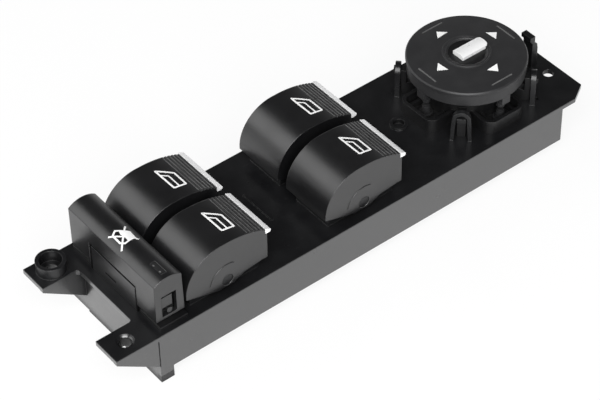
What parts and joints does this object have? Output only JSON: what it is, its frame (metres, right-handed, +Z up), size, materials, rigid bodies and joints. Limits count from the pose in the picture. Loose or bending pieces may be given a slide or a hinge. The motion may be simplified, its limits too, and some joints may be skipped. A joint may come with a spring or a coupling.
{
  "type": "power window switch",
  "caption": "Door switch panel on a long moulded plate: window rocker buttons, a window lock bar and a tilting mirror pad with a turning selector.",
  "frame": {"origin": "centre of the bounding box's bottom, on the surface the cover's pan rests on", "axes": "+X along the plate from the fixing ears to the mirror pad, +Y from the front face to the rear face, +Z up through the buttons"},
  "size_m": [0.2162, 0.056, 0.0446],
  "materials": {
    "housing_plastic": "fine-grained black moulding",
    "cover_plastic": "fine-grained black moulding",
    "button_plastic": "satin soft-touch black paint",
    "inner_plastic": "natural low-friction moulding",
    "bright_trim": "bright satin plating",
    "board_laminate": "green solder mask over laminate",
    "contact_brass": "plated strip",
    "screw_steel": "zinc-plated",
    "led_body": "white package",
    "clear_acrylic": "clear light guide",
    "smoked_lens": "smoked translucent window",
    "switch_plastic": "black thermoset case",
    "dome_rubber": "soft contact domes",
    "rotor_plastic": "black",
    "clip_steel": "spring steel"
  },
  "bodies": {
    "housing": {"upper_housing": "housing_plastic", "lower_cover": "cover_plastic", "circuit_board": "board_laminate", "status_led": "led_body", "connector_header": "switch_plastic", "connector_pins": "contact_brass", "cover_screws": "screw_steel", "lock_frame": "cover_plastic", "light_pipe": "clear_acrylic", "lock_switch": "switch_plastic", "mirror_base": "housing_plastic", "mirror_terminals": "contact_brass", "pressure_domes": "dome_rubber"},
    "rocker_left_front": {"button_left_front": "button_plastic", "trim_left_front": "bright_trim"},
    "slide_left_front": {"slider_left_front": "inner_plastic", "contact_left_front": "contact_brass"},
    "rocker_left_rear": {"button_left_rear": "button_plastic", "trim_left_rear": "bright_trim"},
    "slide_left_rear": {"slider_left_rear": "inner_plastic", "contact_left_rear": "contact_brass"},
    "rocker_right_front": {"button_right_front": "button_plastic", "trim_right_front": "bright_trim"},
    "slide_right_front": {"slider_right_front": "inner_plastic", "contact_right_front": "contact_brass"},
    "rocker_right_rear": {"button_right_rear": "button_plastic", "trim_right_rear": "bright_trim"},
    "slide_right_rear": {"slider_right_rear": "inner_plastic", "contact_right_rear": "contact_brass"},
    "lock": {"lock_button": "button_plastic", "lock_lens": "smoked_lens"},
    "plunger": {"lock_plunger": "inner_plastic"},
    "gimbal": {"gimbal_ring": "inner_plastic"},
    "pad": {"mirror_pad": "button_plastic"},
    "selector": {"selector_rotor": "rotor_plastic", "selector_clip": "clip_steel", "selector_grip": "bright_trim"}
  },
  "joints": [
    {"name": "left_front_tilt", "type": "hinge", "parent": "housing", "child": "rocker_left_front", "pos_m": [-0.0588, -0.0136, 0.0268], "axis": [0, 1, 0], "range_deg": [-7, 7], "stiffness_Nm_per_rad": 0.6},
    {"name": "left_front_contact_slide", "type": "slide", "parent": "housing", "child": "slide_left_front", "axis": [1, 0, 0], "range_m": [-0.0016, 0.0016]},
    {"name": "left_rear_tilt", "type": "hinge", "parent": "housing", "child": "rocker_left_rear", "pos_m": [-0.0588, 0.0136, 0.0268], "axis": [0, 1, 0], "range_deg": [-7, 7], "stiffness_Nm_per_rad": 0.6},
    {"name": "left_rear_contact_slide", "type": "slide", "parent": "housing", "child": "slide_left_rear", "axis": [1, 0, 0], "range_m": [-0.0016, 0.0016]},
    {"name": "right_front_tilt", "type": "hinge", "parent": "housing", "child": "rocker_right_front", "pos_m": [0.0016, -0.0136, 0.0268], "axis": [0, 1, 0], "range_deg": [-7, 7], "stiffness_Nm_per_rad": 0.6},
    {"name": "right_front_contact_slide", "type": "slide", "parent": "housing", "child": "slide_right_front", "axis": [1, 0, 0], "range_m": [-0.0016, 0.0016]},
    {"name": "right_rear_tilt", "type": "hinge", "parent": "housing", "child": "rocker_right_rear", "pos_m": [0.0016, 0.0136, 0.0268], "axis": [0, 1, 0], "range_deg": [-7, 7], "stiffness_Nm_per_rad": 0.6},
    {"name": "right_rear_contact_slide", "type": "slide", "parent": "housing", "child": "slide_right_rear", "axis": [1, 0, 0], "range_m": [-0.0016, 0.0016]},
    {"name": "lock_press", "type": "slide", "parent": "housing", "child": "lock", "axis": [0, 0, 1], "range_m": [-0.0012, 0], "stiffness_N_per_m": 1500},
    {"name": "plunger_press", "type": "slide", "parent": "housing", "child": "plunger", "axis": [0, 0, 1], "range_m": [-0.0013, 0]},
    {"name": "pad_tilt_front_rear", "type": "hinge", "parent": "housing", "child": "gimbal", "pos_m": [0.071, 0, 0.0333], "axis": [1, 0, 0], "range_deg": [-4, 4], "stiffness_Nm_per_rad": 0.8},
    {"name": "pad_tilt_left_right", "type": "hinge", "parent": "gimbal", "child": "pad", "pos_m": [0.071, 0, 0.0333], "axis": [0, 1, 0], "range_deg": [-4, 4], "stiffness_Nm_per_rad": 0.8},
    {"name": "selector_turn", "type": "hinge", "parent": "pad", "child": "selector", "pos_m": [0.071, 0, 0.0413], "axis": [0, 0, 1], "range_deg": [-35, 35]}
  ],
  "couplings": [
    {"joint": "left_front_contact_slide", "follows": "left_front_tilt", "m_per_rad": -0.0121},
    {"joint": "left_rear_contact_slide", "follows": "left_rear_tilt", "m_per_rad": -0.0121},
    {"joint": "right_front_contact_slide", "follows": "right_front_tilt", "m_per_rad": -0.0121},
    {"joint": "right_rear_contact_slide", "follows": "right_rear_tilt", "m_per_rad": -0.0121},
    {"joint": "plunger_press", "follows": "lock_press", "ratio": 1}
  ]
}
